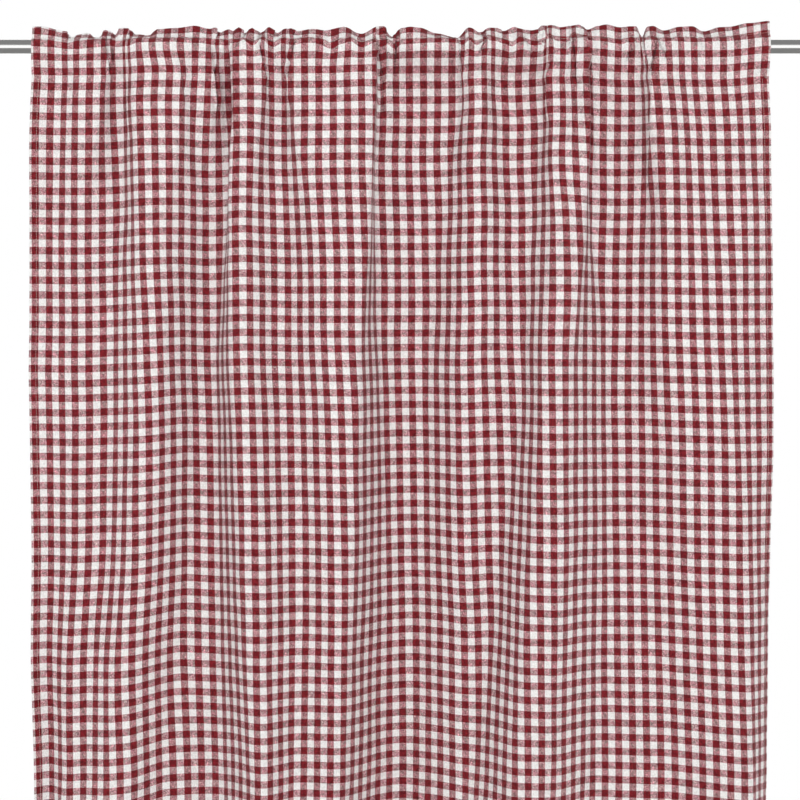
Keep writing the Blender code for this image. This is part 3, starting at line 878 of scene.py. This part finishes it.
def build_sheet():
    """All rows of the panel and the places of its columns."""
    places = column_places()
    heights = hanging_heights()
    pocket = np.linspace(LOWER_SEAM, 0.0, POCKET_LEVELS)
    hem = HEM + np.linspace(0.0, BOTTOM_HEM, HEM_LEVELS)
    levels = np.unique(np.concatenate([heights, pocket, hem]))
    checks, all_x, all_forward = sections(levels)
    all_x = all_x + sway(checks, levels)
    pull = level_through(checks / 1000, PULLS)

    def sample(height):
        """x and forward of the cloth's section at a height, at the columns."""
        held = min(max(height, levels[0]), levels[-1])
        above = int(np.clip(np.searchsorted(levels, held), 1, len(levels) - 1))
        share = (held - levels[above - 1]) / (levels[above] - levels[above - 1])
        x = all_x[above - 1] * (1 - share) + all_x[above] * share
        forward = all_forward[above - 1] * (1 - share) + all_forward[above] * share
        x = x + pull * float(ease((held - PULL_START) / (PULL_FULL - PULL_START)))
        return np.interp(places, checks, x), np.interp(places, checks, forward)

    _, _, (neck_fine,) = sections([NECK])
    neck = np.interp(places, checks, neck_fine)
    seam = SEAM_DEPTH * neck
    raised = {facing: np.interp(places, checks, stand_off(neck_fine, facing)) for facing in (1, -1)}
    sheet = Sheet(places)
    add_bottom_hem(sheet, sample)
    hem_rows = len(sheet.rows)
    add_front(sheet, sample, heights, seam, neck)
    sheet.lower_seam_row = len(sheet.rows) - 1
    sheet.hanging_rows = range(hem_rows, sheet.lower_seam_row)
    add_pocket(sheet, sample, seam, raised[1], 1)
    sheet.upper_seam_row = len(sheet.rows) + 1
    add_frill(sheet, sample)
    sheet.back_upper_row = len(sheet.rows) - 1
    add_pocket(sheet, sample, seam, raised[-1], -1)
    sheet.back_lower_row = len(sheet.rows)
    add_turn_in(sheet, sample, seam, neck)
    return sheet


def with_side_hems(points, outward, tuck, places):
    """One row of the mesh with the side hems turned in at both ends, and its places in checks."""
    radius = tuck / 2
    flats = np.array(SIDE_HEM_COLUMNS)
    hems = []
    for inner, facing, checks_in in (
        (points, outward, places - places[0]),
        (points[::-1], outward[::-1], places[-1] - places[::-1]),
    ):
        distance = checks_in * CHECK_ACROSS
        edge = inner[0]
        away = edge - inner[1]
        away = away / np.linalg.norm(away)
        fold = []
        for angle in FOLD_STEPS:
            turn = math.radians(angle)
            fold.append(edge + away * radius * math.sin(turn) + facing[0] * radius * (math.cos(turn) - 1))
        flat = between_points(flats, distance, inner) - between_points(flats, distance, facing) * tuck
        hems.append(np.vstack([fold, flat]))
    beyond = np.concatenate([np.radians(FOLD_STEPS) * radius, flats + math.pi * radius]) / CHECK_ACROSS
    row = np.vstack([hems[0][::-1], points, hems[1]])
    return row, np.concatenate([places[0] - beyond[::-1], places, places[-1] + beyond])


def grid_faces(rows, columns):
    """Quads of a grid of points, facing the good side."""
    corner = np.arange((rows - 1) * columns).reshape(rows - 1, columns)[:, :-1].ravel()
    return np.column_stack([corner, corner + 1, corner + columns + 1, corner + columns])


def new_object(name, points, faces, material, uv_maps):
    """A smooth mesh object. uv_maps gives a place on each map for every point."""
    data = bpy.data.meshes.new(name)
    data.from_pydata(points.tolist(), [], faces.tolist())
    corners = np.empty(len(data.loops), dtype=np.int32)
    data.loops.foreach_get("vertex_index", corners)
    for map_name, places in uv_maps.items():
        layer = data.uv_layers.new(name=map_name)
        layer.data.foreach_set("uv", places[corners].astype(np.float32).ravel())
    data.materials.append(material)
    data.shade_smooth()
    data.update()
    return in_scene(bpy.data.objects.new(name, data))


def in_scene(made):
    """Adds an object to the scene."""
    bpy.context.scene.collection.objects.link(made)
    return made


def make_panel(sheet, material):
    """The whole panel as one continuous sheet with its hems, pocket and frill."""
    points = []
    maps = []
    for row, outward, path, tuck in sheet.rows:
        full, marks = with_side_hems(row, outward, tuck, sheet.places)
        down = (np.interp(marks, sheet.places, path) - DARK_ROW) / CHECK_DOWN
        points.append(full)
        maps.append(np.column_stack([marks, down]))
    faces = grid_faces(len(points), len(points[0]))
    places = np.vstack(maps)
    tiled = (places - np.array(BAKE_CORNER)) / BAKE_TILE
    return new_object("panel_cloth", np.vstack(points), faces, material, {"Cloth": places, "OFBake": tiled})


def swept(centre, normal, girths, lengths):
    """Points, faces and map places of threads: rings of points round each centre line."""
    count, rings = centre.shape[:2]
    normal = normal / np.linalg.norm(normal, axis=-1, keepdims=True)
    beside = np.cross(normal, np.gradient(centre, axis=1))
    beside /= np.linalg.norm(beside, axis=-1, keepdims=True)
    turn = (2 * math.pi * np.arange(THREAD_SIDES) / THREAD_SIDES)[None, None, :, None]
    ring = normal[:, :, None, :] * np.cos(turn) + beside[:, :, None, :] * np.sin(turn)
    points = centre[:, :, None, :] + ring * girths[None, :, None, None]
    base = (np.arange(count) * rings * THREAD_SIDES)[:, None, None]
    step = (np.arange(rings - 1) * THREAD_SIDES)[None, :, None]
    here = np.arange(THREAD_SIDES)[None, None, :]
    first = base + step + here
    second = base + step + (here + 1) % THREAD_SIDES
    quads = np.stack([first, second, second + THREAD_SIDES, first + THREAD_SIDES], axis=-1).reshape(-1, 4)
    length_map = np.broadcast_to(lengths[:, :, None] / STITCH_LENGTH, (count, rings, THREAD_SIDES))
    round_map = np.broadcast_to(here / THREAD_SIDES, length_map.shape)
    places = np.stack([length_map, round_map], axis=-1)
    return points.reshape(-1, 3), quads, places.reshape(-1, 2)


def stitches_along(path, normals):
    """A row of raised stitches along a path on the cloth."""
    steps = np.linalg.norm(np.diff(path, axis=0), axis=1)
    travelled = np.concatenate([[0.0], np.cumsum(steps)])
    count = int(travelled[-1] / (STITCH_LENGTH + STITCH_GAP))
    starts = (np.arange(count) + 0.5) * travelled[-1] / count - STITCH_LENGTH / 2
    shares, heights, girths = (np.array(column) for column in zip(*STITCH_RINGS))
    at = starts[:, None] + shares[None, :] * STITCH_LENGTH
    centre = between_points(at, travelled, path)
    normal = between_points(at, travelled, normals)
    centre = centre + normal * (heights * THREAD_RADIUS)[None, :, None]
    return swept(centre, normal, girths * THREAD_RADIUS, at)


def thread_tail(sheet, end):
    """The loose end of the lower seam's thread: a small loop on the cloth, then a short curl."""
    row, outward, _, _ = sheet.rows[sheet.lower_seam_row]
    inwards = 1.0 if end == 0 else -1.0
    place = sheet.places[end] + inwards * TAIL_INSET / CHECK_ACROSS
    start = between_points(place, sheet.places, row)
    normal = between_points(place, sheet.places, outward)
    normal /= np.linalg.norm(normal)
    up = np.array([0.0, 0.0, 1.0])
    along = np.cross(up, normal)
    share = np.linspace(0.0, 1.0, TAIL_RINGS)
    turn = 2 * math.pi * TAIL_TURNS * share
    radius = TAIL_LOOP * (1.0 - TAIL_TIGHTENS * share)
    across = inwards * (radius * np.sin(turn) - TAIL_DRIFT * share**2)
    down = radius * (1.0 - np.cos(turn)) + TAIL_DROP * share**3
    out = TAIL_PROUD * np.sin(math.pi * share) + 2.0 * THREAD_RADIUS
    centre = start + across[:, None] * along - down[:, None] * up + out[:, None] * normal
    taper = np.clip(TAIL_TAPER * np.minimum(share, 1.0 - share), TAIL_TIP, 1.0)
    girths = THREAD_RADIUS * np.sqrt(taper)
    lengths = share * 2 * math.pi * TAIL_LOOP * TAIL_TURNS
    return swept(centre[None], np.tile(normal, (TAIL_RINGS, 1))[None], girths, lengths[None])


def column_path(sheet, inset, end):
    """A line down the front a fixed distance in from a side edge, and its outward normals."""
    place = sheet.places[end] + (inset if end == 0 else -inset) / CHECK_ACROSS
    rows = [sheet.rows[row] for row in sheet.hanging_rows]
    return [np.array([between_points(place, sheet.places, row[part]) for row in rows]) for part in (0, 1)]


def level_path(sheet, height):
    """A level line across the front at a height between the rows, and its outward normals."""
    rows = [sheet.rows[row] for row in sheet.hanging_rows]
    levels = [float(row[0][:, 2].mean()) for row in rows]
    above = int(np.searchsorted(levels, height))
    share = (height - levels[above - 1]) / (levels[above] - levels[above - 1])
    return [rows[above - 1][part] * (1 - share) + rows[above][part] * share for part in (0, 1)]


def make_stitches(name, threads, material):
    """One piece holding several threads."""
    points, faces, maps = zip(*threads)
    firsts = np.cumsum([0] + [len(part) for part in points[:-1]])
    faces = [part + first for part, first in zip(faces, firsts)]
    return new_object(name, np.vstack(points), np.vstack(faces), material, {"Thread": np.vstack(maps)})


class Nodes:
    """The node tree of a material or world, with short calls for the nodes that are used often."""

    def __init__(self, owner):
        owner.use_nodes = True
        self.owner = owner
        self.tree = owner.node_tree
        self.shader = self.tree.nodes.get("Principled BSDF")

    def put(self, value, socket):
        if hasattr(value, "is_linked"):
            self.tree.links.new(value, socket)
        elif socket.type == "RGBA":
            socket.default_value = (*value, 1.0)
        else:
            socket.default_value = value

    def add(self, kind, values=(), **settings):
        node = self.tree.nodes.new(kind)
        for key, value in settings.items():
            setattr(node, key, value)
        for socket, value in values:
            self.put(value, node.inputs[socket])
        return node

    def finish(self, **surface):
        """Sets the shader's sockets, named with _ for a space, and gives the material."""
        for name, value in surface.items():
            self.put(value, self.shader.inputs[name.replace("_", " ")])
        return self.owner

    def split(self, place):
        return self.add("ShaderNodeSeparateXYZ", ((0, place),)).outputs

    def math(self, operation, *values):
        return self.add("ShaderNodeMath", enumerate(values), operation=operation).outputs[0]

    def times(self, first, second):
        return self.math("MULTIPLY", first, second)

    def plus(self, first, second):
        return self.math("ADD", first, second)

    def within(self, value, whole):
        """How far value is past the last multiple of whole."""
        return self.math("FLOORED_MODULO", value, whole)

    def mix(self, share, first, second):
        wires = ((0, share), (6, first), (7, second))
        return self.add("ShaderNodeMix", wires, data_type="RGBA").outputs[2]

    def between(self, value, low, high, first=0.0, second=1.0, **settings):
        """value carried from the range low..high to first..second."""
        wires = ((0, value), (1, low), (2, high), (3, first), (4, second))
        return self.add("ShaderNodeMapRange", wires, **settings).outputs[0]

    def noise(self, place, scale, detail):
        wires = (("Vector", place), ("Scale", scale), ("Detail", detail))
        return self.add("ShaderNodeTexNoise", wires).outputs["Fac"]

    def torus_noise(self, across, down, per_check_across, per_check_down, detail=2.0):
        """Noise that repeats after BAKE_TILE checks each way, at so many blotches to a check."""
        rounds = []
        for value, scale in ((across, per_check_across), (down, per_check_down)):
            turn = self.times(value, 2 * math.pi / BAKE_TILE)
            radius = BAKE_TILE * scale / (2 * math.pi)
            rounds += [self.times(self.math(side, turn), radius) for side in ("COSINE", "SINE")]
        place = self.add("ShaderNodeCombineXYZ", enumerate(rounds[:3])).outputs[0]
        wires = (("Vector", place), ("W", rounds[3]), ("Scale", 1.0), ("Detail", detail))
        return self.add("ShaderNodeTexNoise", wires, noise_dimensions="4D").outputs["Fac"]

    def chance(self, value):
        """A number from 0 to 1 that is the same for every point with the same value."""
        return self.add("ShaderNodeTexWhiteNoise", (("W", value),), noise_dimensions="1D").outputs["Value"]

    def relief(self, height, strength, distance):
        """The shader's normal for a small relief."""
        wires = (("Strength", strength), ("Distance", distance), ("Height", height))
        return self.add("ShaderNodeBump", wires).outputs[0]


def dyed_colour(n, warp, weft, warp_over):
    """The colour of the yarn on top, and where the yarns down and across are red."""
    # A red stripe starts at each whole check across, and a red row is centred on each whole check down.
    # Half a yarn more keeps both clear of rounding
    red_warp = n.math("LESS_THAN", n.within(n.plus(warp, 0.5), float(YARNS)), YARNS / 2)
    red_weft = n.math("LESS_THAN", n.within(n.plus(weft, 0.5 + YARNS / 4), float(YARNS)), YARNS / 2)

    # Where the two differ, the white yarns take up some of the red between them
    warp_red, warp_white = WARP_PINK
    weft_red, weft_white = WEFT_PINK
    on_red_warp = n.mix(warp_over, warp_white, warp_red)
    on_red_weft = n.mix(warp_over, weft_red, weft_white)
    white_column = n.mix(red_weft, WHITE, on_red_weft)
    red_column = n.mix(red_weft, on_red_warp, RED)
    return n.mix(red_warp, white_column, red_column), red_warp, red_weft


def yarn_tone(n, across, down, number, slubs):
    """Yarns differ a little from one to the next, and thicken and thin along their length."""
    slub = n.times(n.torus_noise(across, down, *slubs), SLUB_SHARE)
    return n.math("MULTIPLY_ADD", n.chance(number), YARN_SHARE, slub)


def make_cloth_material():
    """Plain-woven gingham: yarns over and under, dyed in stripes both ways."""
    n = Nodes(bpy.data.materials.new("gingham_cloth"))
    across, down, _ = n.split(n.add("ShaderNodeUVMap", uv_map="Cloth").outputs[0])
    yarn_across = n.times(across, YARNS)
    yarn_down = n.times(down, YARNS)
    warp = n.math("FLOOR", yarn_across)
    weft = n.math("FLOOR", yarn_down)
    warp_over = n.within(n.plus(warp, weft), 2.0)
    colour, red_warp, red_weft = dyed_colour(n, warp, weft, warp_over)

    # The brightness of single yarns and of broad blotches
    tile = float(YARNS * BAKE_TILE)
    warp_number = n.within(warp, tile)
    weft_number = n.within(weft, tile)
    warp_tone = yarn_tone(n, across, down, warp_number, SLUBS)
    weft_tone = yarn_tone(n, across, down, n.plus(weft_number, OTHER_YARNS), SLUBS[::-1])
    over_tone = n.add("ShaderNodeMix", ((0, warp_over), (2, weft_tone), (3, warp_tone))).outputs[0]
    blotch = n.torus_noise(across, down, BLOTCHES, BLOTCHES, 3.0)
    brightness = n.between(n.plus(over_tone, n.times(blotch, BLOTCH_SHARE)), *TONES)

    # Single crossings of yarns vary, and so do patches of them, more so where there is red
    any_red = n.math("MAXIMUM", red_warp, red_weft)
    crossing = n.math("MULTIPLY_ADD", weft_number, tile, warp_number)
    specks = n.between(n.chance(crossing), 0.0, 1.0, -1.0, 1.0)
    patches = n.between(n.torus_noise(across, down, PATCHES, PATCHES), *NOISE_RANGE, -1.0, 1.0)
    for grain, on_white, on_red in zip((specks, patches), WHITE_GRAIN, RED_GRAIN):
        strength = n.between(any_red, 0.0, 1.0, on_white, on_red)
        brightness = n.times(brightness, n.math("MULTIPLY_ADD", grain, strength, 1.0))

    # Mixed squares lean to pink in places and to grey in others
    mixed = n.math("ABSOLUTE", n.math("SUBTRACT", red_warp, red_weft))
    cast = n.between(n.torus_noise(across, down, CASTS, CASTS), *CAST_RANGE)
    tint = n.mix(mixed, (1.0, 1.0, 1.0), n.mix(cast, PINK_CAST, GREY_CAST))
    toned = n.add("ShaderNodeVectorMath", ((0, colour), (1, tint)), operation="MULTIPLY").outputs[0]

    # Each yarn shows as a small rounded pad where it lies on top, its colour darkened towards the hollows
    # between yarns as painted shade
    round_warp = n.math("SINE", n.times(n.math("SUBTRACT", yarn_across, warp), math.pi))
    round_weft = n.math("SINE", n.times(n.math("SUBTRACT", yarn_down, weft), math.pi))
    pad = n.math("POWER", n.times(round_warp, round_weft), 0.5)
    shade = n.times(brightness, n.between(pad, *PAINTED_WEAVE_SHADE))
    final = n.add("ShaderNodeVectorMath", ((0, toned), ("Scale", shade)), operation="SCALE").outputs[0]
    return n.finish(
        Base_Color=final,
        Roughness=n.between(pad, 0.0, 1.0, *CLOTH_ROUGHNESS),
        Sheen_Weight=CLOTH_SHEEN,
        Sheen_Roughness=SHEEN_ROUGHNESS,
        Specular_IOR_Level=CLOTH_SPECULAR,
        Normal=n.relief(n.plus(pad, n.times(over_tone, SLUB_RELIEF)), *WEAVE_RELIEF),
    )


def make_thread_material():
    """Off-white sewing thread with its twist."""
    n = Nodes(bpy.data.materials.new("sewing_thread"))
    along, around, _ = n.split(n.add("ShaderNodeUVMap", uv_map="Thread").outputs[0])
    turn = n.times(n.plus(n.times(along, TWISTS), around), 2 * math.pi)
    twist = n.between(n.math("SINE", turn), -1.0, 1.0)
    # Painted shade between the twists, varied at random from stitch to stitch
    twist_shade = n.mix(n.chance(n.math("FLOOR", along)), *PAINTED_TWIST_SHADES)
    return n.finish(
        Base_Color=n.mix(twist, twist_shade, THREAD_COLOUR),
        Roughness=n.between(twist, 0.0, 1.0, *THREAD_ROUGHNESS),
        Normal=n.relief(twist, *THREAD_RELIEF),
    )


def make_steel_material():
    """Satin steel, brushed along the rod."""
    n = Nodes(bpy.data.materials.new("brushed_steel"))
    place = n.add("ShaderNodeTexCoord").outputs["Object"]
    stretch = n.add("ShaderNodeVectorMath", ((0, place), (1, STREAKS)), operation="MULTIPLY").outputs[0]
    streak = n.noise(stretch, 1.0, 4.0)
    broad = n.between(n.noise(place, STEEL_BLOTCHES, 3.0), *NOISE_RANGE, *STEEL_ROUGHNESS)
    return n.finish(
        Base_Color=n.mix(streak, *STEEL_GREYS),
        Roughness=n.math("MULTIPLY_ADD", streak, STREAK_ROUGHNESS, broad),
        Metallic=1.0,
        Normal=n.relief(streak, *STEEL_RELIEF),
    )


def make_floor_material():
    """Pale, slightly mottled floor."""
    n = Nodes(bpy.data.materials.new("pale_floor"))
    mottle = n.noise(n.add("ShaderNodeTexCoord").outputs["Object"], FLOOR_BLOTCHES, 5.0)
    return n.finish(Base_Color=n.mix(mottle, *FLOOR_GREYS), Roughness=0.9)


def finish_rod(rod, material):
    """The frame's rod with softened end edges and a steel finish."""
    rod.data.materials.clear()
    rod.data.materials.append(material)
    soften = rod.modifiers.new("end_edges", "BEVEL")
    soften.width = ROD_END_ROUNDING
    soften.segments = 3
    soften.limit_method = "ANGLE"
    soften.angle_limit = math.radians(60)


def make_floor(material):
    """A pale floor just below the panel's bottom edge."""
    wide, near, far = FLOOR_SIZE
    level = HEM - FLOOR_BELOW
    corners = np.array([(-wide, near, level), (wide, near, level), (wide, far, level), (-wide, far, level)])
    new_object("floor", corners, np.array([(0, 1, 2, 3)]), material, {})


def make_world():
    """A studio lit by broad white fields in front and behind. The camera itself sees plain white."""
    n = Nodes(bpy.data.worlds.new("studio"))
    n.tree.nodes.clear()
    place = n.split(n.add("ShaderNodeTexCoord").outputs["Generated"])
    ahead, up = (n.math("ABSOLUTE", place[axis]) for axis in (1, 2))
    soft = {"interpolation_type": "SMOOTHSTEP"}
    round_about = n.between(ahead, *FIELD_EDGE, SIDE_LIGHT, FIELD_LIGHT, **soft)
    strength = n.between(up, *BAND_EDGE, round_about, GREY_LIGHT, **soft)
    lit = n.add("ShaderNodeBackground", (("Color", LIGHT_COLOUR), ("Strength", strength)))
    seen = n.add("ShaderNodeBackground", (("Color", (1.0, 1.0, 1.0)),))
    rays = n.add("ShaderNodeLightPath").outputs["Is Camera Ray"]
    choose = n.add("ShaderNodeMixShader", ((0, rays), (1, lit.outputs[0]), (2, seen.outputs[0])))
    n.add("ShaderNodeOutputWorld", ((0, choose.outputs[0]),))
    bpy.context.scene.world = n.owner


def make_camera():
    """The photograph's view: square on, and tilted down a little from above the middle."""
    data = bpy.data.cameras.new("photo_view")
    data.sensor_width = 36.0
    data.lens = CAMERA_LENS
    made = in_scene(bpy.data.objects.new("photo_view", data))
    tilt = math.radians(CAMERA_TILT)
    made.location = (0.0, -CAMERA_DISTANCE * math.cos(tilt), MIDDLE_HEIGHT + CAMERA_DISTANCE * math.sin(tilt))
    made.rotation_euler = (math.pi / 2 - tilt, 0.0, 0.0)
    bpy.context.scene.camera = made


cloth = make_cloth_material()
thread = make_thread_material()
sheet = build_sheet()

panel = make_panel(sheet, cloth)
seam_rows = (sheet.lower_seam_row, sheet.upper_seam_row, sheet.back_upper_row, sheet.back_lower_row)
seam_threads = [stitches_along(*sheet.rows[row][:2]) for row in seam_rows]
seam_threads += [thread_tail(sheet, end) for end in (0, -1)]
side_threads = [stitches_along(*column_path(sheet, SIDE_HEM - STITCH_INSET, end)) for end in (0, -1)]
bottom_threads = [stitches_along(*level_path(sheet, HEM + BOTTOM_HEM - STITCH_INSET))]
all_stitches = [
    make_stitches("heading_stitches", seam_threads, thread),
    make_stitches("side_hem_stitches", side_threads, thread),
    make_stitches("bottom_hem_stitches", bottom_threads, thread),
]
for piece in [panel] + all_stitches:
    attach(piece, "root")
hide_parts("curtain_panel")

finish_rod(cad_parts["curtain_rod"], make_steel_material())
make_floor(make_floor_material())
make_world()
make_camera()
bpy.context.scene.view_settings.view_transform = "Standard"
